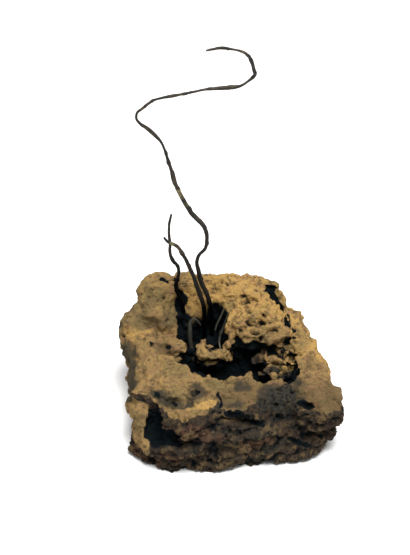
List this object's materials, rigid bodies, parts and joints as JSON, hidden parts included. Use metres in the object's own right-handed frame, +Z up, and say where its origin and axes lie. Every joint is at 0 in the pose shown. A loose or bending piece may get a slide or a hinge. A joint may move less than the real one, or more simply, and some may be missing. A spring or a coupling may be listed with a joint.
{
  "type": "native silver wire specimen",
  "caption": "Curling wires of native silver standing in the hollow of a flat-based lump of pitted vein rock, made to rest on a shelf.",
  "frame": {"origin": "middle of the flat underside that the rock rests on", "axes": "+Z up, along the height of the tall wire; +X to the right and +Y to the back, seen from the front"},
  "size_m": [0.05, 0.0441, 0.0882],
  "materials": {
    "vein_rock": "rough, pitted, ochre tan on top and umber on the broken faces",
    "tarnished_silver": "dark brown-black tarnish with dull olive-gold patches",
    "grey_silver": "dull grey-olive tarnish"
  },
  "bodies": {
    "root": {"matrix": "vein_rock", "main_wire": "tarnished_silver", "crossing_wire": "tarnished_silver", "left_wire": "tarnished_silver", "hollow_wire_left": "grey_silver", "hollow_wire_middle": "grey_silver", "hollow_wire_right": "grey_silver"}
  },
  "joints": []
}
